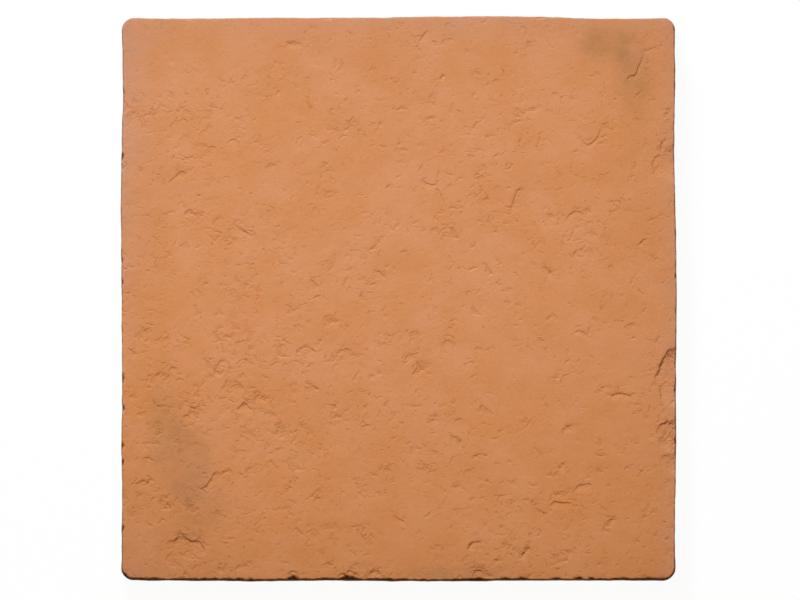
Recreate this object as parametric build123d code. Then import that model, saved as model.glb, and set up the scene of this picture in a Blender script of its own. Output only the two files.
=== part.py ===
"""Cast concrete paving slab: one drafted block with soft, slightly wandering edges and spalled flakes."""

import math
import os

from build123d import *

# Overall sizes, in millimetres and degrees
slab_width = 396.0  # across X, at the bed
slab_length = 402.0  # across Y, at the bed
slab_thickness = 38.0  # bed to walking face
side_draft = 1.0  # lean of the sides, so that the cast lifts out of its mould
arris_radius = 2.0  # rounding where the sides meet the walking face

# Rounding of the four upright corners, at the walking face: each is worn differently
front_right_radius = 9.2
back_right_radius = 8.5
back_left_radius = 8.0
front_left_radius = 10.0

# The edges aren't dead straight: each strays inwards from its line by shares of edge_wander,
# read at even steps along the side, anticlockwise as seen from above.
edge_wander = 1.4
front_wander = (0.2, 0.2, 0.7, 0.2, 0.2, 1.0, 0.2)
right_wander = (0.5, 0.2, 0.5, 0.0, 0.5, 1.0, 0.9)
back_wander = (1.0, 0.0, 0.2, 0.5, 0.5, 0.5, 1.0)
left_wander = (1.0, 0.3, 0.2, 0.5, 0.2, 0.5, 0.7)

# Flakes spalled off the right-hand edge: place is their middle along Y, reach goes in from the edge
upper_flake_place = 96.0
upper_flake_length = 26.0
upper_flake_reach = 13.0
upper_flake_depth = 1.6
middle_flake_place = -56.0
middle_flake_length = 42.0
middle_flake_reach = 15.0
middle_flake_depth = 2.6
lower_flake_place = -99.0
lower_flake_length = 24.0
lower_flake_reach = 13.0
lower_flake_depth = 2.2

# Nicks in the front edge: place is their middle along X, reach goes in from the edge
left_nick_place = -75.0
left_nick_length = 10.0
left_nick_reach = 5.0
left_nick_depth = 2.0
middle_nick_place = -35.0
middle_nick_length = 14.0
middle_nick_reach = 4.5
middle_nick_depth = 2.4
right_nick_place = 57.0
right_nick_length = 13.0
right_nick_reach = 5.5
right_nick_depth = 2.6

# Worked out from the sizes above
draft_inset = slab_thickness * math.tan(math.radians(side_draft))
face_right_edge = slab_width / 2 - draft_inset
face_back_edge = slab_length / 2 - draft_inset


def wandering_side(start, end, inward, wander):
    """A spline from start to end that strays inwards by the given shares and leaves both ends straight."""
    start, end, inward = Vector(*start), Vector(*end), Vector(*inward)
    along = (end - start).normalized()
    step = (end - start) * (1 / (len(wander) + 1))
    strays = [start + step * (i + 1) + inward * share * edge_wander for i, share in enumerate(wander)]
    return Spline(start, *strays, end, tangents=(along, along))


def plan_outline(spread):
    """The slab's outline seen from above: that of the walking face, spread outwards all round."""
    x, y = face_right_edge + spread, face_back_edge + spread
    front_right, back_right = front_right_radius + spread, back_right_radius + spread
    back_left, front_left = back_left_radius + spread, front_left_radius + spread
    sides = [
        wandering_side((front_left - x, -y), (x - front_right, -y), (0, 1), front_wander),
        wandering_side((x, front_right - y), (x, y - back_right), (-1, 0), right_wander),
        wandering_side((x - back_right, y), (back_left - x, y), (0, -1), back_wander),
        wandering_side((-x, y - back_left), (-x, front_left - y), (1, 0), left_wander),
    ]
    corners = [
        CenterArc((x - front_right, front_right - y), front_right, 270, 90),
        CenterArc((x - back_right, y - back_right), back_right, 0, 90),
        CenterArc((back_left - x, y - back_left), back_left, 90, 90),
        CenterArc((front_left - x, front_left - y), front_left, 180, 90),
    ]
    return make_face([edge for pair in zip(sides, corners) for edge in pair])


def drafted_block():
    """The cast block: wider at the bed than at the walking face, with its upper arris rounded."""
    bed = plan_outline(draft_inset)
    face = Pos(0, 0, slab_thickness) * plan_outline(0)
    block = loft([bed, face], ruled=True)
    return fillet(block.faces().sort_by(Axis.Z)[-1].edges(), arris_radius)


def scoop(length, reach, depth):
    """The shape of one flake or nick, lying along X with the slab's sharp edge at the origin.

    A half ellipse is turned about a line above the edge: across the edge the scar is an arc that goes
    in by reach and is depth deep at the edge, and along the edge it is length long.
    """
    across = (reach**2 + depth**2) / (2 * depth)
    rise = across - depth
    along = length / 2 / math.sqrt(1 - (rise / across) ** 2)
    half = Ellipse(along, across) & Pos(0, across / 2) * Rectangle(2 * along, across)
    return Pos(0, 0, rise) * revolve(half, Axis.X)


def right_flake(place, length, reach, depth):
    """A scoop set at its place along the right-hand edge of the walking face."""
    return Pos(face_right_edge, place, slab_thickness) * Rot(0, 0, 90) * scoop(length, reach, depth)


def front_nick(place, length, reach, depth):
    """A scoop set at its place along the front edge of the walking face."""
    return Pos(place, -face_back_edge, slab_thickness) * scoop(length, reach, depth)


flakes = [
    right_flake(upper_flake_place, upper_flake_length, upper_flake_reach, upper_flake_depth),
    right_flake(middle_flake_place, middle_flake_length, middle_flake_reach, middle_flake_depth),
    right_flake(lower_flake_place, lower_flake_length, lower_flake_reach, lower_flake_depth),
]
nicks = [
    front_nick(left_nick_place, left_nick_length, left_nick_reach, left_nick_depth),
    front_nick(middle_nick_place, middle_nick_length, middle_nick_reach, middle_nick_depth),
    front_nick(right_nick_place, right_nick_length, right_nick_reach, right_nick_depth),
]
paving_slab = drafted_block() - flakes - nicks

os.makedirs("parts", exist_ok=True)
export_step(paving_slab, "parts/paving_slab.step")
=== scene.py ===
# %% [markdown]
# # A weathered concrete paving slab
#
# The real slab is one casting of through-coloured concrete. It was poured face down into a mould whose
# floor copies worn stone, so the walking face is almost flat but full of small crescent dents, thin rims
# and a few flakes along the edges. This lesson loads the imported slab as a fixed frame, builds a skin of
# the same size with numpy, and gives it colour, stains and light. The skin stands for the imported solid,
# so its sizes are read from the frame and not typed in again.

# %% Load the frame
import math
from collections import namedtuple
from functools import partial

import bpy
import numpy as np
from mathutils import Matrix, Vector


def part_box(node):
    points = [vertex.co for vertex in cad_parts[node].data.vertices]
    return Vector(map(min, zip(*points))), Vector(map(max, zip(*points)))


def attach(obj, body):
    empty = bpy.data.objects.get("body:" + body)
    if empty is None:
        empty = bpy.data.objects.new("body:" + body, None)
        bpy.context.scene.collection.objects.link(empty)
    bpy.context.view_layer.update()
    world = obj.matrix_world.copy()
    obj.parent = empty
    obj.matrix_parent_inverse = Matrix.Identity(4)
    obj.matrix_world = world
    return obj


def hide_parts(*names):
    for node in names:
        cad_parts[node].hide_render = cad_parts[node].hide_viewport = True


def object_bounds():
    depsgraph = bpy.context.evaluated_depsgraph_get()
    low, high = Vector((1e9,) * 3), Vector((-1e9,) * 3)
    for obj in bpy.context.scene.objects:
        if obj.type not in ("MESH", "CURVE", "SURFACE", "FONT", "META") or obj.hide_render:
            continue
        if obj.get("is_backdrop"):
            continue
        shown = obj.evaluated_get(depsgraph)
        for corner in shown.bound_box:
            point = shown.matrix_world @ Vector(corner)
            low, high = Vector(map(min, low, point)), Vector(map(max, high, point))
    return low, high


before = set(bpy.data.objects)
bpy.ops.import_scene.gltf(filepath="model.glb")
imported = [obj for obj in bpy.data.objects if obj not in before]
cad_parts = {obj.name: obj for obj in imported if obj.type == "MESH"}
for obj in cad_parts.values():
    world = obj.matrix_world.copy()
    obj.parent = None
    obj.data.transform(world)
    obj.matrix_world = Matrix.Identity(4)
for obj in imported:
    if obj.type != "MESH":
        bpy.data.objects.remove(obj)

MM = 0.001  # the lesson counts in millimetres, and Blender in metres
cad_low, cad_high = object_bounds()
slab_low, slab_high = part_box("paving_slab")
half_width, half_length, thickness = np.array(slab_high - slab_low) / MM / (2, 2, 1)
print(f"slab {2 * half_width:.1f} x {2 * half_length:.1f} x {thickness:.1f} mm")

# %% [markdown]
# ## Two helpers: soft hills and smooth lines
#
# Almost nothing on a casting is straight or even, so two helpers do most of the work. Blender has noise
# textures, but a mesh made in numpy needs its own noise, and gradient noise is the simplest that has no
# visible squares. The smooth line turns a few hand-placed points into a curve, which is how a rim, a
# crack or a wandering edge is drawn here.

# %% Soft hills
lattice = 256  # corners along a side of the noise, before it repeats
hill_gain = 1.5  # brings the blended planes up to about -1 to 1


def hills(x, y, size, seed):
    """Gradient noise of about -1 to 1 with hills of the given size.

    Each corner of a square lattice holds a plane that is tilted at random. A point blends the planes of
    the four corners around it with the weight 6t^5 - 15t^4 + 10t^3 along each axis.
    """
    tilt = np.random.default_rng(seed).uniform(0, 2 * np.pi, (lattice, lattice))
    u, v = np.broadcast_arrays(x / size, y / size)
    i, j = np.floor(u).astype(int), np.floor(v).astype(int)
    s, t = u - i, v - j

    def plane(right, up):
        angle = tilt[(i + right) % lattice, (j + up) % lattice]
        return np.cos(angle) * (s - right) + np.sin(angle) * (t - up)

    across, upward = (w**3 * (w * (6 * w - 15) + 10) for w in (s, t))
    low = plane(0, 0) * (1 - across) + plane(1, 0) * across
    high = plane(0, 1) * (1 - across) + plane(1, 1) * across
    return hill_gain * (low * (1 - upward) + high * upward)


def smooth_step(t):
    """0 below 0, 1 above 1, and 3t^2 - 2t^3 between them."""
    t = np.clip(t, 0, 1)
    return t * t * (3 - 2 * t)


print("hills, for example:", np.round(hills(np.arange(4) * 3.0, 0.0, 7.0, 1), 2))


# %% Smooth lines
def smooth_line(points, steps=6):
    """A curve through points: each span is the cubic that leaves a point along its neighbours' chord."""
    p = np.asarray(points, float)
    p = np.vstack([2 * p[0] - p[1], p, 2 * p[-1] - p[-2]])
    t = np.linspace(0, 1, steps, endpoint=False)[:, None]
    a, b, c, d = (p[i : len(p) - 3 + i, None] for i in range(4))
    curve = b + 0.5 * t * (c - a + t * (2 * a - 5 * b + 4 * c - d + t * (3 * b - a - 3 * c + d)))
    return np.vstack([curve.reshape(-1, 2), p[-2]])


def nearest(x, y, line):
    """The nearest place on a line of short segments, for each point.

    Returns that place, the share of the line before it (0 to 1), and the distance, which counts as
    positive to the right of the line and negative to its left.
    """
    start, step = line[:-1], np.diff(line, axis=0)
    away_x, away_y = x[:, None] - start[:, 0], y[:, None] - start[:, 1]
    t = np.clip((away_x * step[:, 0] + away_y * step[:, 1]) / (step**2).sum(axis=1), 0, 1)
    away_x, away_y = away_x - t * step[:, 0], away_y - t * step[:, 1]
    best = np.argmin(away_x**2 + away_y**2, axis=1)
    row = np.arange(len(x))
    away_x, away_y = away_x[row, best], away_y[row, best]
    left = step[best, 0] * away_y - step[best, 1] * away_x
    distance = -np.sign(left) * np.hypot(away_x, away_y)
    return x - away_x, y - away_y, (best + t[row, best]) / len(step), distance


print("points on a line through three:", len(smooth_line([(0, 0), (1, 1), (2, 0)])))

# %% [markdown]
# ## The plan: a rounded square of cells
#
# Seen from above, the slab is a square with rounded corners. A cube with a bevel would do for the shape,
# but its big flat face has no points to push about. So the face is a grid of cells whose corner squares
# are bent into quarter discs. The same function, with a smaller inset, gives the rings that go down the
# sides, and each ring then lies straight outside the last one.

# %% Grid cells and rounded corners
cells = 264  # along each side of the walking face
corner_radius = 9.0
side_draft = 1.0  # degrees that the sides lean in
arris_room = 4.6  # strip of the face that is left to the rounded edge
draft_inset = thickness * math.tan(math.radians(side_draft))
face_inset = draft_inset + arris_room


def straight_and_round(share, half):
    """Splits a place of -1 to 1 across the slab into millimetres of straight and a share of the corner."""
    straight = half - corner_radius
    bend = straight / half
    beyond = np.clip((np.abs(share) - bend) / (1 - bend), 0, 1)
    return np.clip(share / bend, -1, 1) * straight, np.sign(share) * beyond


def plan(across, up, inset):
    """Places of a square grid on the rounded square, moved in from the outline by inset.

    In a corner, the square (a, b) becomes the quarter disc (a sqrt(1 - b^2/2), b sqrt(1 - a^2/2)).
    """
    x, a = straight_and_round(across, half_width)
    y, b = straight_and_round(up, half_length)
    radius = corner_radius - inset
    return x + radius * a * np.sqrt(1 - b**2 / 2), y + radius * b * np.sqrt(1 - a**2 / 2)


print(f"the face starts {face_inset:.2f} mm in from the outline")


# %% The border of the grid
def border(count):
    """Rows and columns of a grid's outer points, anticlockwise from its front left corner."""
    going, still = np.arange(count), np.full(count, count)
    rows = np.concatenate([0 * going, going, still, count - going])
    columns = np.concatenate([going, still, count - going, 0 * going])
    return rows, columns


shares = np.linspace(-1, 1, cells + 1)
grid_across, grid_up = np.meshgrid(shares, shares)
border_rows, border_columns = border(cells)
loop_across, loop_up = shares[border_columns], shares[border_rows]
face_x, face_y = plan(grid_across, grid_up, face_inset)
print("face cells:", cells**2, "border points:", len(border_rows))

# %% [markdown]
# ## The sides: a profile carried round the border
#
# Below the face the edge is broken by wear, the side leans out by the mould's draft, and the foot is
# barely rounded. That is a profile carried along the border: each ring has one inset and one height.
# The wear is not even, so the broken edge's width changes along the border and is largest at the two
# front corners. Air bubbles that were trapped against the mould left small round holes in the sides.

# %% Insets and heights of the rings
arris_in = np.array([3.6, 2.4, 1.7, 1.2, 0.85, 0.55, 0.3, 0.0])[:, None]  # distances in from the side
arris_curve = 1.4  # 1 is a plain bevel, and more is rounder
arris_height, arris_sway, sway_size = 2.4, 0.6, 22.0
arris_changes = ((26.0, 0.4), (9.0, 0.5), (3.8, 0.8))  # size of changes along the edge, and their share
front_width, other_width, least_width = 0.95, 0.4, 0.1  # of the broken edge, seen from above
front_strip, front_ease = 10.0, 8.0  # how far back the front edge counts, and how softly that ends
sound_from, sound_to, sound_ease = 97.0, 142.0, 6.0  # stretch of the front edge that is hardly broken
front_corner_wear, back_corner_wear, corner_reach = 0.9, 0.4, 12.0
side_steps = 12
foot_radius = 1.0
foot_up = np.array([0.45, 0.0])[:, None]  # heights of the foot's two rings, in its radius
foot_in = np.array([0.17, 1.0])[:, None]  # and how far in they lie

loop_x, loop_y = plan(loop_across, loop_up, 0.0)
from_corner = np.hypot(half_width - np.abs(loop_x), half_length - np.abs(loop_y))
corner_wear = np.where(loop_y < 0, front_corner_wear, back_corner_wear)
corner_wear = corner_wear * np.exp(-from_corner / corner_reach)
at_front = smooth_step((front_strip - half_length - loop_y) / front_ease)
sound = smooth_step((loop_x - sound_from) / sound_ease) * smooth_step((sound_to - loop_x) / sound_ease)
arris_wide = other_width + (front_width - other_width) * at_front * (1 - sound)
arris_wide *= 1 + sum(change * hills(loop_x, loop_y, size, seed=3) for size, change in arris_changes)
arris_wide = np.maximum(arris_wide + corner_wear, least_width)
arris_tall = arris_height + corner_wear + arris_sway * hills(loop_x, loop_y, sway_size, seed=4)
arris_drop = arris_tall * np.clip(1 - arris_in / arris_wide, 0, 1) ** arris_curve
side_share = np.linspace(0, 1, side_steps + 1)[1:, None]
side_drop = arris_tall + (thickness - foot_radius - arris_tall) * side_share
foot_drop = thickness - foot_radius * foot_up * np.ones_like(arris_tall)
ring_drop = np.vstack([arris_drop, side_drop, foot_drop])
ring_inset = draft_inset * (1 - ring_drop / thickness)
ring_inset[: len(arris_in)] += arris_in
ring_inset[-len(foot_in) :] += foot_radius * foot_in
ring_count = len(ring_drop)
print(f"{ring_count} rings, broken edge {arris_wide.min():.1f} to {arris_wide.max():.1f} mm wide")

# %% Rough sides with bubble holes
side_swell, side_swell_size = 0.34, 11.0
side_grain, side_grain_size = 0.14, 4.0
rough_from, rough_ease, rough_foot = 2.0, 6.0, 2.0  # drop where it starts, its easing, and that at the foot
skew_share = 0.83
bubble_count = 70
bubble_depth = 0.55  # share of its radius
least_bubble, largest_bubble = 1.3, 2.8  # radius
room_above, room_below = 9.0, 4.0  # strips of the side without bubbles

edge_place = np.append(0, np.cumsum(np.hypot(np.diff(loop_x), np.diff(loop_y))))
skew = loop_x + skew_share * loop_y  # runs on round every corner, so the noise has no seam
below_arris = smooth_step((ring_drop - rough_from) / rough_ease)
below_arris = below_arris * smooth_step((thickness - ring_drop) / rough_foot)
roughness = side_swell * hills(skew, ring_drop, side_swell_size, seed=5)
roughness = roughness + side_grain * hills(skew, ring_drop, side_grain_size, seed=6)
ring_inset -= roughness * below_arris

draw = np.random.default_rng(12)
for place, bubble_drop, radius in zip(
    draw.uniform(0, edge_place[-1], bubble_count),
    draw.uniform(room_above, thickness - room_below, bubble_count),
    draw.uniform(least_bubble, largest_bubble, bubble_count),
):
    apart = ((edge_place - place) ** 2 + (ring_drop - bubble_drop) ** 2) / radius**2
    ring_inset += bubble_depth * radius * np.clip(1 - apart, 0, 1)
ring_x, ring_y = plan(loop_across, loop_up, ring_inset)
print("bubble holes:", bubble_count, "deepest inset:", round(float(ring_inset.max()), 2))

# %% [markdown]
# ## Edges that wander
#
# No edge of the real slab is dead straight: each strays inwards by up to a millimetre and a half, and is
# ragged at a smaller scale. One function moves face and rings alike, so they can't come apart, and the
# move dies away towards the middle. Long waves go down the whole side, but fine raggedness is wear of the
# upper edge, so it dies away soon below it. Otherwise the side would look like a washboard.

# %% How far each edge strays
edge_wander = 1.4
edge_fade = 25.0  # how far in from the edge a stray is felt
# Raggedness: its size along the edge, its reach, and how far down the side it is felt
ragged_sizes = ((30.0, 0.55, 150.0), (17.0, 0.35, 60.0), (7.0, 0.35, 9.0), (3.6, 0.45, 4.7))
# Shares of the wander at even steps, from left to right and from front to back
front_wander = (0.5, 0.1, 0.1, 0.3, 0.1, 0.1, 0.5, 0.5, 0.3)
back_wander = (1.0, 1.2, 0.7, 0.8, 0.5, 0.0, 0.1, 1.2, 0.9)
left_wander = (0.5, 0.6, 0.4, 0.6, 0.5, 0.1, 0.2, 1.1, 0.6)
right_wander = (0.85, 0.75, 0.25, 0.4, 0.0, 0.4, 1.2, 0.9, 0.8)
front_ragged, back_ragged, left_ragged, right_ragged = 0.8, 0.5, 0.9, 0.6  # shares of the raggedness
noise_row = 40.0  # times its seed, this is the line across the noise that an edge reads


def edge_move(along, drop, half, wander, share, seed):
    """How far an edge moves in: a smooth line through the wander's shares, and raggedness on top.

    Each size of raggedness fades by exp(-drop / fade), where drop counts down from the face.
    """
    stations = np.linspace(-1, 1, len(wander)) * (half - corner_radius)
    line = smooth_line(np.column_stack([stations, wander]))
    move = edge_wander * np.interp(along, line[:, 0], line[:, 1])
    for size, reach, fade in ragged_sizes:
        move += share * reach * hills(along, seed * noise_row, size, seed) * np.exp(-drop / fade)
    return move


def felt(gap):
    """The share of an edge's move that is felt at a distance from it: exp(-gap / edge_fade)."""
    return np.exp(-np.maximum(gap, 0) / edge_fade)


def stray(x, y, drop):
    """Moves places, a drop below the walking face, as the edges near them stray."""
    moved_x = x + edge_move(y, drop, half_length, left_wander, left_ragged, 21) * felt(half_width + x)
    moved_x -= edge_move(y, drop, half_length, right_wander, right_ragged, 22) * felt(half_width - x)
    moved_y = y + edge_move(x, drop, half_width, front_wander, front_ragged, 23) * felt(half_length + y)
    moved_y -= edge_move(x, drop, half_width, back_wander, back_ragged, 24) * felt(half_length - y)
    return moved_x, moved_y


face_points = face_x.size
plain_x, plain_y = np.append(face_x, ring_x), np.append(face_y, ring_y)
drop = np.append(np.zeros(face_points), ring_drop)
edge_gap = np.minimum(half_width - np.abs(plain_x), half_length - np.abs(plain_y))
x, y = stray(plain_x, plain_y, drop)
print("points on face and sides:", len(x))

# %% [markdown]
# ## Dents, rims and cracks, placed one by one
#
# The marks on the walking face look like thumb prints in stiff clay: a thin curved rim, a short steep
# wall on its low side, and a floor that comes gently back up. Sculpting or a noise texture could give
# that look, but not these marks in these places. So each mark is a rim line with a low side on its
# right. A dent is a short bowed rim, and a crack, an arch or a flake is a rim through chosen points.

# %% Kinds of marks
Rim = namedtuple("Rim", "line depth run wall sharp")
faint, plain, deep = 0.13, 0.2, 0.32
rim_wall, dent_wall = 0.7, 1.3  # width of the steep wall
rim_wobble, wobble_size = 0.9, 2.8
dent_sharp = 0.0  # share of a rim's sharpness that a dent has
dent_run, least_run = 0.7, 1.5  # a dent's floor comes up over a share of its span, and a little more
rims = []


def rim(points, depth=plain, run=5.0, wall=rim_wall, sharp=1.0):
    """A rim through points. Small hills nudge it, so that it looks broken and not drawn."""
    x, y = smooth_line(points).T
    wobbled = [axis + rim_wobble * hills(x, y, wobble_size, seed) for axis, seed in ((x, 31), (y, 32))]
    rims.append(Rim(np.column_stack(wobbled), depth, run, wall, sharp))


def dent(x, y, span, slant=0, depth=plain, bow=0.2):
    """A short rim about a middle point: its ends drop by bow times its span, and it slants by degrees."""
    c, s = math.cos(math.radians(slant)) * span, math.sin(math.radians(slant)) * span
    ends = [(x + way * c / 2 + bow * s, y + way * s / 2 - bow * c) for way in (-1, 1)]
    rim([ends[0], (x, y), ends[1]], depth, dent_run * span + least_run, dent_wall, dent_sharp)


print("depths of a faint, a plain and a deep mark:", faint, plain, deep, "mm")

# %% Marks of the back right quarter
rim([(162, 154), (164, 158), (168, 159), (171, 167), (175, 175)], deep, run=3)
rim([(176, 176), (180, 178), (185, 180)], faint)
rim([(127, 119), (131, 112), (135, 109), (139, 112), (142, 117), (145, 124)], run=4)
rim([(145, 124), (149, 125)], faint, run=4)
rim([(117, 55), (121, 59), (126, 62), (130, 61), (133, 58)], run=7)
rim([(104, 57), (108, 60), (112, 56)], faint, run=6)
rim([(77, 57), (80, 66), (82, 71), (84, 76), (89, 80)], run=9)
rim([(102, 23), (107, 20), (111, 15)], deep, run=6)
rim([(169, 36), (173, 41), (177, 42)])
dent(112, 146, 5, -30, deep)
dent(123, 143, 5, -5)
dent(92, 180, 7, 30)
dent(95, 136, 5, 10)
dent(102, 110, 6, 15, faint)
dent(84, 131, 8, 25, faint)
dent(159, 126, 8, 5, faint)
dent(160, 71, 8, -30)
dent(144, 88, 6, 10)
dent(139, 46, 5, -12, deep)
dent(117, 45, 5, 30)
dent(126, 34, 7, 15)
dent(136, 35, 7, -8)
dent(166, 14, 5, 45)
dent(149, 23, 6, 50)
dent(176, 188, 6, 50, faint)
dent(191, 133, 7, 50, faint)
print("marks so far:", len(rims))

# %% Marks of the back left quarter
rim([(-116, 53), (-110, 48), (-104, 45)])
rim([(-165, 81), (-159, 87), (-154, 90), (-149, 89)], run=6)
rim([(-154, 58), (-149, 63), (-145, 60), (-141, 55)], run=6)
rim([(-81, 179), (-77, 182), (-72, 179)], run=6)
rim([(14, 181), (17, 187), (22, 191)])
rim([(16, 85), (20, 82), (24, 81), (28, 82)])
rim([(-17, 21), (-13, 18), (-9, 16)], run=4)
dent(-111, 157, 8, 40)
dent(-151, 134, 5, -10, deep)
dent(-138, 134, 6, 15, faint)
dent(-181, 124, 6)
dent(-171, 136, 6, 25, faint)
dent(-138, 110, 11, -12)
dent(-148, 101, 7, 0)
dent(-91, 96, 10, 8)
dent(-132, 85, 5, 5)
dent(-123, 87, 6, 12)
dent(-92, 63, 6, 15)
dent(-122, 41, 7, -10)
dent(-153, 39, 6, 5)
dent(-171, 43, 5, -30)
dent(32, 184, 8, 20)
dent(36, 196, 7, -5)
dent(48, 177, 5)
dent(69, 156, 7, 15)
dent(22, 144, 9, 55)
dent(-36, 125, 5, 10)
dent(-44, 120, 9, 10)
dent(52, 102, 6, -15, deep)
dent(58, 87, 6, 10, deep)
dent(62, 71, 7, -15)
dent(-50, 91, 5, -10)
dent(-48, 77, 6, 5)
dent(-7, 81, 6, 25)
dent(-61, 63, 6, 50)
dent(26, 50, 7, -5, deep)
dent(54, 38, 5, -30)
dent(5, 34, 7, 5)
dent(49, 5, 7, 20)
print("marks so far:", len(rims))

# %% Marks of the front left quarter
rim([(-116, -80), (-111, -76), (-109, -75), (-103, -80)], deep, run=7)
rim([(-142, -136), (-136, -133), (-133, -128), (-130, -124), (-123, -125)], deep, run=6)
rim([(-156, -166), (-150, -171), (-146, -173), (-142, -173), (-137, -181)], 0.9, run=17)
rim([(-163, -172), (-159, -172), (-154, -169)], deep, run=9)
rim([(-150, -181), (-145, -184), (-139, -185)], faint, run=4)
rim([(-189, -135), (-182, -129), (-174, -135)], run=8)
rim([(-28, -166), (-24, -171), (-20, -177)], run=4)
rim([(-4, -154), (1, -157), (6, -160)], run=4)
dent(-178, -22, 8, -10, deep)
dent(-164, -28, 5, -20, deep)
dent(-157, -33, 13, 15, faint)
dent(-123, -27, 6, -10)
dent(-83, -33, 7, 5)
dent(-107, -35, 6, 60)
dent(-76, -6, 7, -45)
dent(-161, -49, 8, 20, deep)
dent(-169, -53, 8, 0, deep)
dent(-134, -46, 8, -20)
dent(-126, -44, 6, 20, deep)
dent(-187, -39, 5, -40)
dent(-116, -61, 10, 22)
dent(-99, -69, 12, 0, deep)
dent(-91, -81, 11, -5, deep)
dent(-146, -81, 8, 5, deep)
dent(-150, -68, 5, 40)
dent(-178, -113, 8, -8, deep)
dent(-163, -148, 6, -50, deep)
dent(-168, -143, 7)
dent(-188, -151, 5, 5, deep)
dent(-148, -148, 7, -10, deep)
dent(-128, -151, 5, -15, deep)
dent(-127, -191, 5, -15, deep)
dent(-113, -190, 6, 8, deep)
dent(-108, -121, 7, 35)
dent(-36, -36, 8, -5, deep)
dent(-45, -41, 6, 5)
dent(-10, -32, 6, -5)
dent(-63, -63, 8, -15, deep)
dent(-27, -64, 7, -5)
dent(-23, -90, 9, -5, deep)
dent(-44, -83, 5, -20)
dent(-8, -121, 7, -15, deep)
dent(-58, -142, 7, 15, deep)
dent(-59, -165, 8, -10)
dent(-47, -189, 6, -45)
dent(-31, -188, 7, 20)
print("marks so far:", len(rims))

# %% Marks of the front right quarter
rim([(151, -69), (156, -68), (161, -68), (167, -70)], deep)
rim([(124, -136), (129, -133), (133, -132), (138, -132)], deep, run=6)
rim([(106, -148), (111, -145), (116, -145), (124, -146)], deep, run=6)
rim([(49, -180), (50, -177), (52, -174), (59, -172)], 0.5, run=13)
rim([(86, -184), (89, -181), (92, -176)], deep)
rim([(97, -148), (102, -152), (106, -156)], run=6)
rim([(115, -97), (118, -92), (125, -89)], run=6)
dent(12, -23, 11, -5)
dent(37, -20, 5, -5, deep)
dent(35, -30, 10, 0, deep)
dent(7, -41, 8, 15, deep)
dent(12, -51, 9, 35, deep)
dent(56, -35, 7, 10, deep)
dent(51, -45, 6, 5)
dent(26, -86, 7, 5, deep)
dent(43, -85, 6, -5, deep)
dent(64, -80, 8, -8)
dent(42, -101, 6, 50)
dent(19, -120, 6, 0, deep)
dent(42, -133, 7, -5, deep)
dent(49, -122, 6, 20)
dent(28, -175, 5, -10)
dent(79, -175, 6)
dent(94, -167, 5)
dent(164, -18, 10, 20, deep)
dent(132, -23, 7, -5)
dent(102, -29, 7, -10)
dent(118, -54, 6, 10)
dent(112, -59, 7, -25)
dent(145, -63, 4, 0, deep)
dent(172, -79, 6, -5)
dent(89, -87, 6, -5)
dent(116, -117, 6, 15, deep)
dent(111, -124, 7, 40)
dent(144, -122, 8, -35)
dent(117, -137, 6, -3)
dent(152, -157, 7, -15, deep)
dent(145, -163, 5, 20)
dent(122, -179, 8, -10)
dent(112, -182, 5, -20, deep)
dent(172, -123, 8, 40)
dent(175, -154, 5, -5, deep)
dent(170, -172, 7, -25)
print("marks so far:", len(rims))

# %% Flakes of the right edge and cracks over the front edge
rim([(184, 87), (182, 91), (180, 95), (181, 98), (185, 103)], deep, run=10)
rim([(186, 105), (187, 110), (190, 115)])
rim([(182, -59), (183, -55), (185, -51), (186, -46), (189, -41), (192, -37), (197, -36)], 0.6, run=15)
rim([(187, -75), (186, -69), (185, -65), (186, -61)], run=9)
rim([(183, -97), (185, -91), (188, -89), (192, -88), (195, -90)], 0.6, run=11)
rim([(184, -102), (187, -99), (190, -101)], run=7)
rim([(187, -116), (188, -112), (194, -111)], run=7)
rim([(-80, -197), (-75, -194), (-70, -197)], deep)
rim([(-42, -197), (-35, -194), (-28, -197)], deep)
rim([(-22, -196), (-17, -194), (-12, -196)], deep)
rim([(52, -197), (57, -193), (61, -196)], deep)
print("marks in all:", len(rims))

# %% [markdown]
# ## Draw the grid in towards the rims
#
# A cell is a millimetre and a half wide, but a rim's wall is half of that. Sharper walls could be had by
# dividing the whole mesh, at four times the cells. It is cheaper to move the points that are there:
# every rim draws the grid lines on both its sides towards itself, as a modeller would slide edge loops
# up to a crease.

# %% Draw in
draw_reach = 3.4
draw_strength = 0.66
draw_ease = 6.0  # the strip along the edges where the drawing in starts


def close_to(x, y, line, reach):
    """Which points lie in the box round a line, widened by reach."""
    low, high = line.min(axis=0) - reach, line.max(axis=0) + reach
    return np.flatnonzero((x > low[0]) & (x < high[0]) & (y > low[1]) & (y < high[1]))


free = smooth_step((edge_gap - face_inset) / draw_ease)
for mark in rims:
    at = close_to(x, y, mark.line, 2 * draw_reach)
    foot_x, foot_y, along, gap = nearest(x[at], y[at], mark.line)
    # A point at distance d keeps the share 1 - strength exp(-(d / reach)^4) of it
    drawn = draw_strength * np.exp(-((gap / draw_reach) ** 4)) * np.sqrt(np.sin(np.pi * along)) * free[at]
    x[at] += (foot_x - x[at]) * drawn
    y[at] += (foot_y - y[at]) * drawn
print("points that a rim may draw in:", int(np.count_nonzero(free)))

# %% [markdown]
# ## Press the relief into the face
#
# The depth at a point is a sum: very low swells that the mould's floor has, crumbled patches all over,
# the fall towards the edges, every mark's own depth, and what flakes and bites take out of the edges.
# Down the sides the same depth fades away. A dent's own hollow is kept shallow here, because the
# material gives it a ragged outline later.

# %% Swells and crumbled patches
swells = ((85.0, 0.26), (31.0, 0.13), (12.0, 0.09))  # size of the swells, and their height
crumb_sizes = ((7.0, 0.16), (4.2, 0.13))  # size of the crumbling, and its height
crumb_patch, crumb_level, crumb_ease = 13.0, -0.15, 0.5  # size of its patches, and the hills they start at
edge_fall, edge_fall_reach = 0.5, 6.0
face_level = -0.45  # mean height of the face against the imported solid's
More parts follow.
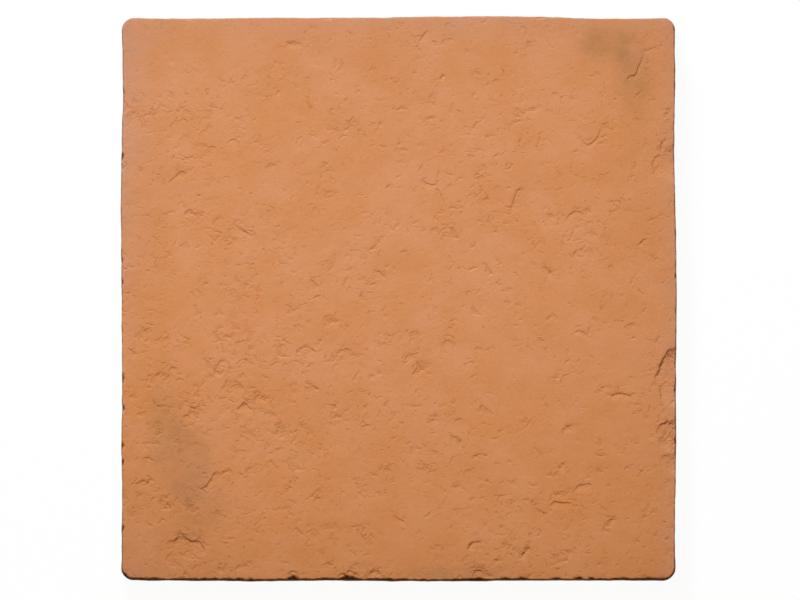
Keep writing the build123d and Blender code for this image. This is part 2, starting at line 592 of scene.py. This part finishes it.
# Patches that are more worn or calmer than the rest: middle, reach, and what they add
worn_patches = ((-120, -80, 95, 0.4), (120, -30, 80, -0.25), (-142, -182, 20, 0.6), (72, -178, 26, 0.5))
plain_wear = 0.75
calm_back, calm_from, calm_ease = 0.3, 140.0, 50.0  # the back is calmer


def busyness(x, y):
    """How worn a place is: a plain share, less along the back, and the bell curves of the worn patches."""
    worn = plain_wear - calm_back * smooth_step((y - calm_from) / calm_ease)
    for patch_x, patch_y, reach, change in worn_patches:
        worn += change * np.exp(-((x - patch_x) ** 2 + (y - patch_y) ** 2) / reach**2)
    return worn


def crumbled(x, y):
    """Low, close hills in patches: two sizes of hills, faded in where wider hills are high."""
    patch = smooth_step((hills(x, y, crumb_patch, seed=63) - crumb_level) / crumb_ease)
    return patch * sum(height * hills(x, y, size, 61 + i) for i, (size, height) in enumerate(crumb_sizes))


relief = sum(height * hills(x, y, size, 50 + i) for i, (size, height) in enumerate(swells))
relief += crumbled(x, y) * busyness(x, y)
relief += face_level - edge_fall * np.exp(-np.maximum(edge_gap, 0) / edge_fall_reach)
print(f"swells and patches: {relief.min():.2f} to {relief.max():.2f} mm")

# %% Marks
far = 9.0
worn_rough, mark_rough = 0.5, 0.4  # how crumbly a worn place and a mark make the face
rough_reach = 4.0  # how far round a mark the face is crumbly
mark_ends = 0.6  # how fast a mark fades at its ends, where 0 is not at all
dent_share = 0.5  # share of a dent's depth that is in the mesh
sharp_depth = 0.4  # the most that the material adds to a wall
sharp_reach, sharp_ease = 5.0, 2.0  # where a wall stops counting for the material, and how softly
rim_gap = np.full(len(x), far)  # distance to the nearest rim, for the material
rim_depth = np.zeros(len(x))
pit = np.zeros(len(x))  # how deep in a mark a point lies, where 1 is a deep one
rough = worn_rough * busyness(x, y)

for mark in rims:
    at = close_to(x, y, mark.line, max(mark.run, sharp_reach, 2 * rough_reach) + 1)
    foot_x, foot_y, along, gap = nearest(x[at], y[at], mark.line)
    ends = np.sin(np.pi * along) ** mark_ends
    fall = smooth_step(gap / mark.wall + 0.5)
    rise = np.clip(1 - np.clip(gap / mark.run, 0, 1) ** 2, 0, 1) ** 2
    hollow = mark.depth * fall * rise * ends
    relief[at] -= hollow * max(mark.sharp, dent_share)
    pit[at] += hollow / deep
    rough[at] += mark_rough * np.exp(-((gap / rough_reach) ** 2))
    nearer = np.abs(gap) < np.abs(rim_gap[at])
    rim_gap[at[nearer]] = gap[nearer]
    counts = smooth_step((sharp_reach - np.abs(gap)) / sharp_ease)
    sharp = mark.sharp * min(mark.depth, sharp_depth) * ends * counts
    rim_depth[at[nearer]] = sharp[nearer]
print("points in a mark:", int(np.count_nonzero(pit)))

# %% Flakes, bites and pinholes
# Middle along the edge, length, reach in from the edge and depth
right_flakes = ((96, 26, 13, 1.6), (-56, 42, 15, 2.6), (-99, 24, 13, 2.2), (-117, 15, 9, 1.4))
right_bites = ((16, 3, 0.8, 2), (-9, 4, 0.8, 2), (-48, 3, 0.8, 2.5), (-65, 3, 0.8, 2.5))
right_bites += ((-101, 3, 1.0, 2.5),)
left_bites = ((101, 5, 1.8, 3), (147, 4, 1.0, 2), (27, 3, 1.2, 2.5), (11, 4, 1.2, 2.5))
left_bites += ((-57, 6, 1.2, 2.5), (-78, 4, 1.4, 3), (-105, 4, 1.4, 3), (-117, 4, 1.4, 3))
left_bites += ((-164, 4, 1.6, 3),)
back_bites = ((-148, 4, 0.8, 1.5), (-130, 4, 0.8, 1.5), (-49, 6, 1.2, 2), (74, 5, 0.8, 1.5))
back_bites += ((100, 8, 1.0, 2),)
front_bites = ((-174, 7, 1.1, 3), (-138, 6, 1.2, 3), (-113, 6, 1.3, 3), (-105, 4, 1.2, 2.5))
front_bites += ((-75, 8, 1.8, 3.5), (-53, 5, 1.2, 3), (-36, 10, 2.3, 3.5), (2, 6, 1.0, 2.5))
front_bites += ((55, 11, 1.6, 3.5), (77, 5, 1.0, 2.5), (88, 4, 1.2, 2.5), (112, 6, 1.0, 3))
front_bites += ((128, 5, 1.0, 3), (137, 4, 1.3, 3), (177, 6, 1.0, 3))
# Painted shade in the bites: how dark the notches of each edge are painted.
right_bite_dark, left_bite_dark, back_bite_dark, front_bite_dark = 0.6, 0.6, 0.25, 0.85
dark_depth = 2.0  # depth at which a bite is as dark as it gets
bite_wall, bite_ends = 0.7, 3.0  # width of its wall, and how abruptly it ends along the edge
bite_ragged, bite_ragged_size = 0.8, 2.6
flake_rough = 0.3  # how crumbly a flake makes the face, for each millimetre of its depth
relief_steepness = 3.0  # the relief is gone a third of the way down the side
pinholes = ((127, 188), (140, 190), (-94, 24), (-135, 79), (-162, 168), (147, -64))
pinhole_radius, pinhole_depth = 0.9, 0.9


def flake(along, gap, middle, length, reach, depth):
    """A scar in an edge: from above half an oval, from whose outline it falls evenly towards the edge."""
    oval = np.sqrt(np.clip(1 - ((along - middle) * 2 / length) ** 2, 0, 1))
    return depth * np.clip(oval - np.maximum(gap, 0) / reach, 0, 1)


def bite(along, gap, middle, length, reach, depth):
    """A notch in an edge: seen from above a ragged half oval, with a steep wall all round."""
    oval = np.sqrt(np.clip(1 - ((along - middle) * 2 / length) ** 2, 0, 1))
    ragged = reach * (1 + bite_ragged * hills(along, depth, bite_ragged_size, seed=65))
    return depth * smooth_step((ragged * oval - gap) / bite_wall + 0.5) * smooth_step(bite_ends * oval)


edges = (
    (right_bites, y, half_width - plain_x, right_bite_dark),
    (left_bites, y, half_width + plain_x, left_bite_dark),
    (back_bites, x, half_length - plain_y, back_bite_dark),
    (front_bites, x, half_length + plain_y, front_bite_dark),
)
bitten, bite_dark = np.zeros((2, len(x)))
for bites, along, gap, darkness in edges:
    for sizes in bites:
        notch = bite(along, gap - draft_inset, *sizes)
        bitten = np.maximum(bitten, notch)
        bite_dark = np.maximum(bite_dark, darkness * smooth_step(notch / dark_depth))
relief -= bitten
flaked = sum(flake(y, half_width - plain_x, *sizes) for sizes in right_flakes)
relief -= flaked
rough += flake_rough * flaked
for hole_x, hole_y in pinholes:
    relief -= pinhole_depth * np.exp(-((x - hole_x) ** 2 + (y - hole_y) ** 2) / pinhole_radius**2)
height = thickness - drop + relief * np.clip(1 - relief_steepness * drop / thickness, 0, 1)
print(f"relief {relief[:face_points].min():.2f} to {relief[:face_points].max():.2f} mm")

# %% [markdown]
# ## The bed and the finished mesh
#
# The underside was the open top of the mould, struck off with a board, so it is flat and a little wavy.
# Nobody looks at it closely, so it gets cells six times as wide, and a seam of triangles joins its
# coarse border to the fine last ring. Then all points and faces go into one closed mesh.

# %% The bed
bed_step = 6  # fine cells to one coarse cell
bed_cells = cells // bed_step
bed_inset = 3.0
bed_wave, bed_wave_size = 0.2, 60.0

bed_shares = np.linspace(-1, 1, bed_cells + 1)
bed_x, bed_y = stray(*plan(*np.meshgrid(bed_shares, bed_shares), bed_inset), thickness)
bed_height = bed_wave * (1 + hills(bed_x, bed_y, bed_wave_size, seed=71)) * 0.5
points = np.column_stack([np.append(x, bed_x), np.append(y, bed_y), np.append(height, bed_height)])
print("points:", len(points))


# %% Faces
def grid_faces(count, first):
    """Four corners of each cell of a grid of points, anticlockwise from above."""
    index = first + np.arange((count + 1) ** 2).reshape(count + 1, count + 1)
    corners = [index[:-1, :-1], index[:-1, 1:], index[1:, 1:], index[1:, :-1]]
    return np.stack(corners, axis=-1).reshape(-1, 4)


bed_first = len(x)
face_loop = border_rows * (cells + 1) + border_columns
rings = np.vstack([face_loop, face_points + np.arange(ring_count * 4 * cells).reshape(ring_count, -1)])
after = np.roll(rings, -1, axis=1)
side_faces = np.stack([rings[:-1], rings[1:], after[1:], after[:-1]], axis=-1).reshape(-1, 4)
bed_rows, bed_columns = border(bed_cells)
coarse = bed_first + bed_rows * (bed_cells + 1) + bed_columns
coarse_after = np.roll(coarse, -1)
fine = rings[-1].reshape(-1, bed_step)
fine_after = after[-1].reshape(-1, bed_step)
half = bed_step // 2
owner = np.where(np.arange(bed_step) < half, coarse[:, None], coarse_after[:, None])
fans = np.stack([fine, owner, fine_after], axis=-1).reshape(-1, 3)
bridges = np.column_stack([fine[:, half], coarse, coarse_after])
quads = np.vstack([grid_faces(cells, 0), side_faces, grid_faces(bed_cells, bed_first)[:, ::-1]])
triangles = np.vstack([fans, bridges])
print("triangles:", 2 * len(quads) + len(triangles))


# %% Into Blender
def add_object(name, data):
    """A new object in the scene."""
    made = bpy.data.objects.new(name, data)
    bpy.context.scene.collection.objects.link(made)
    return made


mesh = bpy.data.meshes.new("slab")
mesh.from_pydata((points * MM).tolist(), [], quads.tolist() + triangles.tolist())
mesh.polygons.foreach_set("use_smooth", np.ones(len(mesh.polygons), bool))
slab = add_object("slab", mesh)
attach(slab, "root")
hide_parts("paving_slab")
print("mesh changed by validate:", mesh.validate(), "size:", [round(v, 4) for v in slab.dimensions])

# %% [markdown]
# ## Where the colour changes
#
# The concrete is coloured through, but weather has greyed two patches, one by the back right corner and
# one at the front left, and left a pale bloom along the left, back and right edges. Hand-painted masks
# could carry that. Here each mask is a number at every point, worked out from soft blotches, and the
# material reads it by name. The numbers about rims and roughness that were kept above go along with them.
# Some masks also paint shade and light: the darker sides and front edge, the darker edges, front and
# right of the face, and the lighter floors of the flakes.

# %% Masks
px, py = points[:, :2].T
side_gap = {
    "left": half_width + px,
    "right": half_width - px,
    "front": half_length + py,
    "back": half_length - py,
}
cloud_sizes = ((16.0, 0.5), (6.0, 0.35))  # size and strength of the clouds that break up the masks
cloud = 0.5 + sum(strength * hills(px, py, size, 81 + i) for i, (size, strength) in enumerate(cloud_sizes))
# Stains: middle, half sizes along X and Y, and strength
stains = (
    (147, 180, 17, 12, 0.6),
    (166, 164, 11, 20, 0.55),
    (171, 142, 10, 16, 0.3),
    (-167, -88, 11, 26, 0.4),
    (-153, -112, 17, 24, 0.5),
    (-142, -145, 15, 22, 0.45),
    (40, -196, 30, 5, 0.5),
)


def blotch(x, y, wide, long):
    """A soft oval patch: exp(-d^4 / 2), where d is the distance from the middle in half sizes."""
    return np.exp(-((((px - x) / wide) ** 2 + ((py - y) / long) ** 2) ** 2) / 2)


def by_edge(edge, strength, reach):
    """A mask that fades away from an edge: strength exp(-gap / reach)."""
    return strength * np.exp(-side_gap[edge] / reach)


def clouded(mask, least, more):
    """A mask that the clouds break up, kept between 0 and 1."""
    return np.clip(mask * (least + more * cloud), 0, 1)


print("cloud:", round(float(cloud.min()), 2), "to", round(float(cloud.max()), 2))

# %% Stain, bloom, ochre and painted shading
bloom_from, bloom_ease = -80.0, 240.0  # the bloom at the left grows towards the back
corner_bloom, corner_bloom_reach = 0.6, 16.0  # at the front left corner
left_ochre, right_ochre_shade, front_ochre_shade = 0.5, 0.4, 0.6
right_shade_from, right_shade_ease, front_shade_ease = 110.0, 70.0, 160.0
corner_shade, flake_light = 0.05, 0.03

stain = sum(strength * blotch(x, y, wide, long) for x, y, wide, long, strength in stains)
stain = clouded(stain, least=0.4, more=0.9)
bloom = by_edge("left", strength=1.2, reach=13) * smooth_step((py - bloom_from) / bloom_ease)
bloom += by_edge("back", strength=0.7, reach=8) + by_edge("right", strength=0.7, reach=8)
bloom += corner_bloom * np.exp(-np.hypot(side_gap["left"], side_gap["front"]) / corner_bloom_reach)
bloom = clouded(bloom, least=0.4, more=1.0)
# A real ochre patch by the left edge, and painted shade that darkens and yellows the face towards its front
# and its right.
ochre_and_shade = left_ochre * blotch(x=-178, y=10, wide=14, long=95)
ochre_and_shade += right_ochre_shade * smooth_step((px - right_shade_from) / right_shade_ease)
ochre_and_shade += front_ochre_shade * smooth_step(-py / front_shade_ease)
ochre_and_shade = clouded(ochre_and_shade, least=0.6, more=0.5)
# Painted shade: the face is darkened towards its back, front, right and left edges and at the front left
# corner. Further down, the flakes' floors get painted light.
painted_shading = by_edge("back", strength=0.08, reach=40) + by_edge("front", strength=0.1, reach=40)
painted_shading += by_edge("right", strength=0.04, reach=70) + by_edge("left", strength=0.03, reach=10)
painted_shading += corner_shade * blotch(x=-185, y=-175, wide=60, long=60)
bed_points = len(points) - len(x)
painted_shading[:-bed_points] -= flake_light * flaked  # painted light on a flake's floor, to lift the shade of its slope
print("mean stain, bloom and ochre:", [round(float(m.mean()), 3) for m in (stain, bloom, ochre_and_shade)])

# %% Hand the masks to the mesh
# The sides are darker. The broken front edge, the front side and the bites are much darker, as painted
# shade from the lamp behind the back edge.
front_dark, other_dark = 1.0, 0.2  # of the broken edge, at the front and elsewhere
front_side_dark, side_dark = 0.4, 0.25  # of the plain side below it, at the front and elsewhere
sound_light = 0.45  # share of the front's dark that its sound stretch lacks
dark_from, dark_ease, plain_ease = 0.15, 0.3, 3.0  # in shares of the broken edge's drop, and in millimetres
bite_dark_drop, bite_dark_ease = 8.0, 5.0  # a bite darkens the top of the side, not all of it
bed_rough = 0.3

broken_edge = smooth_step((ring_drop / arris_tall - dark_from) / dark_ease)
under_edge = smooth_step((ring_drop - arris_tall) / plain_ease)
edge_dark = other_dark + (front_dark - other_dark) * at_front * (1 - sound_light * sound)
plain_dark = side_dark + (front_side_dark - side_dark) * at_front
sides_and_shade = broken_edge * (edge_dark + (plain_dark - edge_dark) * under_edge)
bite_dark *= smooth_step((bite_dark_drop - drop) / bite_dark_ease)
sides_and_shade = np.maximum(np.append(np.zeros(face_points), sides_and_shade), bite_dark)
sides_and_shade = np.append(sides_and_shade, np.full(bed_points, side_dark))
masks = {
    "stain": stain,
    "bloom": bloom,
    "ochre_and_shade": ochre_and_shade,
    "painted_shading": painted_shading,
    "sides_and_shade": sides_and_shade,
    "rough": np.append(np.clip(rough, 0, 1), np.full(bed_points, bed_rough)),
    "pit": np.append(np.clip(pit, 0, 1), np.zeros(bed_points)),
    "rim_gap": np.append(rim_gap, np.full(bed_points, far)),
    "rim_depth": np.append(rim_depth, np.zeros(bed_points)),
}
for name, values in masks.items():
    mesh.attributes.new(name, "FLOAT", "POINT").data.foreach_set("value", values)
print("masks:", list(masks))

# %% [markdown]
# ## Tinted concrete: colour
#
# The finish is dull, sandy and mottled: orange and salmon patches a few centimetres wide, smaller ones
# within them, and a fine grain. Noise textures on object coordinates give the mottling at the right size
# however the slab is turned, and the masks add the weather. The sides are darker, and the broken front
# edge, the front side and the bites much darker, which is painted shade: the lamp stands behind the back
# edge.

# %% Node helpers
def tone(red, green, blue):
    """A colour as it shows on a screen, 0 to 255, turned into Blender's linear light."""
    screen = np.array([red, green, blue]) / 255
    return (*np.where(screen > 0.04045, ((screen + 0.055) / 1.055) ** 2.4, screen / 12.92), 1.0)


def put(tree, kind, sockets=(), **settings):
    """Adds a node. A socket takes a link if it is given another node's output, and a value otherwise."""
    made = tree.nodes.new("ShaderNode" + kind)
    for name, value in settings.items():
        setattr(made, name, value)
    for name, value in dict(sockets).items():
        if isinstance(value, bpy.types.NodeSocket):
            tree.links.new(value, made.inputs[name])
        else:
            made.inputs[name].default_value = value
    return made


def sums(tree, operation, first, second=0.0):
    """One Math node on two numbers or outputs."""
    return put(tree, "Math", {0: first, 1: second}, operation=operation).outputs[0]


print("mid grey in linear light:", round(float(tone(128, 128, 128)[0]), 3))

# %% Noise, ramps and masks in the material
concrete = bpy.data.materials.new("tinted_concrete")
concrete.use_nodes = True
tree = concrete.node_tree
tree.nodes.clear()
place = put(tree, "TexCoord").outputs["Object"]
shift_way = np.array([1.0, 0.7, 1.3])  # layers of noise are moved apart along this line


def noise(size, detail, shift, broken=0.5, twist=0.0, ahead=0.0):
    """Noise on object coordinates with spots of a size in millimetres, shifted so that layers differ.

    It can be read at a place that lies some millimetres ahead of the point, towards the front edge.
    """
    start = shift * shift_way - (0, ahead * MM, 0)
    moved = put(tree, "Mapping", {"Vector": place, "Location": start}).outputs[0]
    sockets = {"Vector": moved, "Scale": 1 / (size * MM), "Detail": detail}
    sockets.update({"Roughness": broken, "Distortion": twist})
    return put(tree, "TexNoise", sockets).outputs["Fac"]


def ramp(value, low, high, interpolation_type="SMOOTHSTEP"):
    """Stretches a value so that low becomes 0 and high becomes 1, and eases it at both ends."""
    sockets = {"Value": value, "From Min": low, "From Max": high}
    return put(tree, "MapRange", sockets, interpolation_type=interpolation_type).outputs[0]


def mixed(share, first, second, blend_type="MIX"):
    """One colour Mix node. Its colour sockets are the seventh and eighth."""
    sockets = {0: share, 6: first, 7: second}
    return put(tree, "Mix", sockets, data_type="RGBA", blend_type=blend_type).outputs[2]


def mask(name):
    """A number that the mesh carries at its points."""
    return put(tree, "Attribute", attribute_name=name).outputs["Fac"]


operations = ("MULTIPLY", "ADD", "SUBTRACT", "MAXIMUM")
times, plus, minus, larger = (partial(sums, tree, operation) for operation in operations)
print("concrete reads", place.name, "coordinates")

# %% Mottling and weather
salmon, orange, sand = tone(218, 148, 103), tone(214, 140, 89), tone(214, 147, 95)
grey_stain, pale_bloom, ochre_and_shade_tint = tone(162, 118, 76), tone(201, 148, 122), tone(205, 130, 69)
side_shade, hollow_shade = (0.045, 0.06, 0.085, 1.0), (0.88, 0.77, 0.62, 1.0)
sand_share, ochre_and_shade_share, bloom_share, stain_share = 0.4, 0.6, 0.7, 0.6
speckle_change = 0.04

grain = noise(size=1.3, detail=2, shift=2.0)
wide_patches = ramp(noise(size=26, detail=3, shift=0.4), 0.3, 0.7)
small_patches = ramp(noise(size=7, detail=3, shift=1.1), 0.4, 0.7)
colour = mixed(wide_patches, orange, salmon)
colour = mixed(times(small_patches, sand_share), colour, sand)
colour = mixed(times(mask("ochre_and_shade"), ochre_and_shade_share), colour, ochre_and_shade_tint)
colour = mixed(times(mask("bloom"), bloom_share), colour, pale_bloom)
colour = mixed(times(mask("stain"), stain_share), colour, grey_stain)
# Darker sides, and painted shade on the broken front edge, the front side and the bites.
colour = mixed(mask("sides_and_shade"), colour, mixed(1.0, colour, side_shade, "MULTIPLY"))
speckle = plus(times(ramp(grain, 0.3, 0.7, "LINEAR"), 2 * speckle_change), 1 - speckle_change)
# Painted shading: darker towards the edges of the face, and lighter on the flakes' floors.
speckle = minus(speckle, mask("painted_shading"))
colour = mixed(1.0, colour, speckle, "MULTIPLY")
print("nodes so far:", len(tree.nodes))

# %% [markdown]
# ## Tinted concrete: fine relief
#
# The mesh is as fine as it can be, but a real rim is sharper than its cells, and round the marks the
# face is crumbly down to single grains of sand. That is left to bump. The walls of the listed rims
# are drawn again from the distance that the mesh carries, which gives a clean line inside a cell. The
# dents get ragged outlines: noise is added to how deep a point lies in one, and a narrow ramp on the sum
# then makes a wall that wanders. Pits fill the face in the same way, wherever a noise is above a level,
# and there are more of them where the mask says that it is rough.

# %% Sharp walls along the rims
wall_wander = 2.5  # millimetres for the whole range of the noise
wall_half, wall_run = 0.3, 3.5  # half the wall's width, and where its floor is back up
wall_depth = -0.65  # share of the rim's own depth

ragged = minus(noise(size=3.0, detail=4, shift=0.9, broken=0.6, twist=0.4), 0.5)
wall_gap = plus(mask("rim_gap"), times(ragged, wall_wander))
wall = times(ramp(wall_gap, -wall_half, wall_half), ramp(wall_gap, wall_run, wall_half))
wall_height = times(times(wall, mask("rim_depth")), wall_depth)
print("nodes so far:", len(tree.nodes))

# %% Crumbly dents
dent_wander = 1.6  # how ragged a dent's outline is
dent_depth = -0.2

in_dent = ramp(mask("pit"), 0.02, 0.25)
dent_edge = plus(mask("pit"), times(times(ragged, dent_wander), in_dent))
dent_height = times(ramp(dent_edge, 0.2, 0.55), dent_depth)
print("nodes so far:", len(tree.nodes))

# %% Pits
cluster_share, rough_share = 0.2, 0.16  # how far clusters and the mask shift the level
plain_rough = 0.45  # roughness that leaves the level as it is
pit_slope, dust_shade_slope = 0.28, 0.14  # rise of the noise from a pit's outline to its floor
large_depth, small_depth = -0.55, -0.37
large_dust_shade, small_dust_shade, dent_dust_shade, dust_shade_share = 0.8, 0.7, 0.4, 0.4

cluster = times(minus(noise(size=32, detail=2, shift=2.6), 0.5), cluster_share)
rough_bias = times(minus(mask("rough"), plain_rough), rough_share)
rough_bias = plus(rough_bias, cluster)


def pits(size, shift, level, ahead):
    """Hollows where noise is above a level: their depth as a share, and dust with painted shade under
    their back walls.

    The dust and shade is the same hollow, read a little ahead, so that it lies further back, under the
    wall that faces away from the lamp.
    """
    look = {"size": size, "detail": 3, "shift": shift, "broken": 0.55, "twist": 0.7}
    here = plus(noise(**look), rough_bias)
    there = plus(noise(**look, ahead=ahead), rough_bias)
    return ramp(here, level, level + pit_slope), ramp(there, level, level + dust_shade_slope)


large_pits, large_dust_and_shade = pits(size=9.5, shift=3.1, level=0.57, ahead=1.1)
small_pits, small_dust_and_shade = pits(size=5.2, shift=5.3, level=0.56, ahead=0.7)
pit_height = plus(times(large_pits, large_depth), times(small_pits, small_depth))
dust_and_shade = larger(times(large_dust_and_shade, large_dust_shade), times(small_dust_and_shade, small_dust_shade))
dust_and_shade = larger(dust_and_shade, times(in_dent, dent_dust_shade))
# Dust and painted shade: the hollows, most of all under their back walls that face away from the lamp, get
# a darker, deeper orange.
dark = mixed(1.0, colour, hollow_shade, "MULTIPLY")
colour = mixed(times(dust_and_shade, dust_shade_share), colour, dark)
print("nodes so far:", len(tree.nodes))

# %% Crumbs and grain
crumb_share, sand_rise, grain_rise = 0.45, 0.17, 0.05

crumb_noise = plus(noise(size=11, detail=3, shift=1.7), rough_bias)
crumbly = larger(ramp(crumb_noise, 0.5, 0.64), in_dent)
crumb_height = times(times(ragged, crumbly), crumb_share)
sand_height = times(noise(size=2.6, detail=3, shift=1.4, broken=0.6), sand_rise)
sand_height = plus(sand_height, times(grain, grain_rise))
fine_height = plus(wall_height, dent_height)
for layer in (pit_height, crumb_height):
    fine_height = plus(fine_height, layer)
flat_share = minus(1.0, mask("sides_and_shade"))
fine_height = plus(times(fine_height, flat_share), sand_height)
print("nodes so far:", len(tree.nodes))

# %% The shader
least_dull, more_dull, shine = 0.82, 0.13, 0.1

dullness = plus(times(noise(size=7, detail=3, shift=1.1), more_dull), least_dull)
bump = put(tree, "Bump", {"Height": fine_height, "Distance": MM, "Strength": 1.0}).outputs[0]
sockets = {"Base Color": colour, "Roughness": dullness, "Specular IOR Level": shine, "Normal": bump}
shader = put(tree, "BsdfPrincipled", sockets)
put(tree, "OutputMaterial", {"Surface": shader.outputs[0]})
mesh.materials.append(concrete)
print("concrete nodes:", len(tree.nodes))

# %% [markdown]
# ## Floor, world and lamps
#
# The slab lies on a plain white floor. Its relief only shows because the main lamp stands low behind the
# back edge, a little to the left, so that dents have dark rims at the back and lit floors in front. The
# floor and the world look white to the camera, but the world gives hardly any light and the floor gives
# back only half, because a bright surround would fill the dents and hide them. The main lamp is a little
# cool and the one overhead warm, so that shade in the dents is a deeper orange and not grey, while a level
# face sees nearly white light in all. The floor still shows a faint shadow.

# %% What only the camera sees
def seen(tree):
    """1 for rays from the camera, a mirror or glass, and 0 for light that only bounces about."""
    rays = put(tree, "LightPath").outputs
    mirrored = sums(tree, "MAXIMUM", rays["Is Glossy Ray"], rays["Is Transmission Ray"])
    return sums(tree, "MAXIMUM", rays["Is Camera Ray"], mirrored)


floor_reach = 3.0
floor_white, floor_bounce = (1.0, 1.0, 1.0, 1.0), (0.5, 0.5, 0.5, 1.0)
floor_glow = 0.95  # share of the floor's white that shadows can't take away
corners = [(sx * floor_reach, sy * floor_reach, 0.0) for sx, sy in ((-1, -1), (1, -1), (1, 1), (-1, 1))]
floor_mesh = bpy.data.meshes.new("floor")
floor_mesh.from_pydata(corners, [], [(0, 1, 2, 3)])
floor = add_object("floor", floor_mesh)
floor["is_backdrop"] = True

paper = bpy.data.materials.new("white_floor")
paper.use_nodes = True
tree = paper.node_tree
tree.nodes.clear()
lit = put(tree, "BsdfDiffuse", {"Color": floor_white}).outputs[0]
glow = put(tree, "Emission", {"Color": floor_white, "Strength": 1.0}).outputs[0]
shown = put(tree, "MixShader", {0: floor_glow, 1: lit, 2: glow}).outputs[0]
bounced = put(tree, "BsdfDiffuse", {"Color": floor_bounce}).outputs[0]
both = put(tree, "MixShader", {0: seen(tree), 1: bounced, 2: shown}).outputs[0]
put(tree, "OutputMaterial", {"Surface": both})
floor_mesh.materials.append(paper)
print("floor:", 2 * floor_reach, "m square")

# %% World
world_share = 0.06

world = bpy.data.worlds.new("white_world")
world.use_nodes = True
tree = world.node_tree
tree.nodes.clear()
strength = put(tree, "MapRange", {"Value": seen(tree), "To Min": world_share, "To Max": 1.0}).outputs[0]
sky = put(tree, "Background", {"Color": floor_white, "Strength": strength}).outputs[0]
put(tree, "OutputWorld", {"Surface": sky})
bpy.context.scene.world = world
print("light from the world:", world_share)


# %% Lamps
def softbox(name, azimuth, elevation, distance, size, share, tint):
    """A square lamp that lights a level surface at the slab with a share of the plain level.

    Azimuth 0 stands behind the back edge and counts towards the right. A lamp of P watts at distance d
    gives the level P sin(elevation) / (pi d)^2.
    """
    a, e = math.radians(azimuth), math.radians(elevation)
    lamp = bpy.data.lights.new(name, "AREA")
    lamp.size = size
    lamp.color = tint
    lamp.energy = share * (math.pi * distance) ** 2 / math.sin(e)
    made = add_object(name, lamp)
    made.location = distance * np.array([math.sin(a) * math.cos(e), math.cos(a) * math.cos(e), math.sin(e)])
    made.rotation_euler = (math.pi / 2 - e, 0.0, math.pi - a)
    print(name, [round(v, 2) for v in made.location], round(lamp.energy), "W")


cool, warm = (0.77, 0.885, 1.0), (1.0, 0.68, 0.38)
softbox("key", azimuth=-14, elevation=38, distance=5.0, size=1.1, share=0.78, tint=cool)
softbox("overhead", azimuth=0, elevation=90, distance=3.0, size=1.6, share=0.31, tint=warm)

# %% [markdown]
# ## Camera
#
# The slab is looked at from above. A close camera would hide the sides behind the face's edges, because
# the bed is further away and looks smaller. So the camera stands far off behind a very long lens, and a
# step to the front, where the front side shows as a thin dark line. The lens fits 570 millimetres of floor
# across the picture, so in a frame four units wide and three high the slab almost fills its height.

# %% Camera
camera_height = 14.0
step_front = 0.28
frame_width = 570.0  # millimetres of the floor that fit across the picture
aim_x, aim_y = 0.9, -0.54  # the slab sits a touch off the middle of the picture

camera = bpy.data.cameras.new("camera")
camera.lens = camera.sensor_width * camera_height / (frame_width * MM)
camera.clip_end = 2 * camera_height
camera_stand = add_object("camera", camera)
camera_stand.location = (aim_x * MM, aim_y * MM - step_front, camera_height)
camera_stand.rotation_euler = (math.atan(step_front / camera_height), 0.0, 0.0)
bpy.context.scene.camera = camera_stand
bpy.context.scene.view_settings.view_transform = "Standard"
print("lens:", round(camera.lens), "mm")

# %% [markdown]
# ## The size at the end
#
# The skin must not outgrow the imported solid, so both boxes are printed at the end.

# %% Finish
bpy.context.view_layer.update()
seen_low, seen_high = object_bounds()
sizes = {"cad": [list(cad_low), list(cad_high)], "visual": [list(seen_low), list(seen_high)]}
print(sizes)
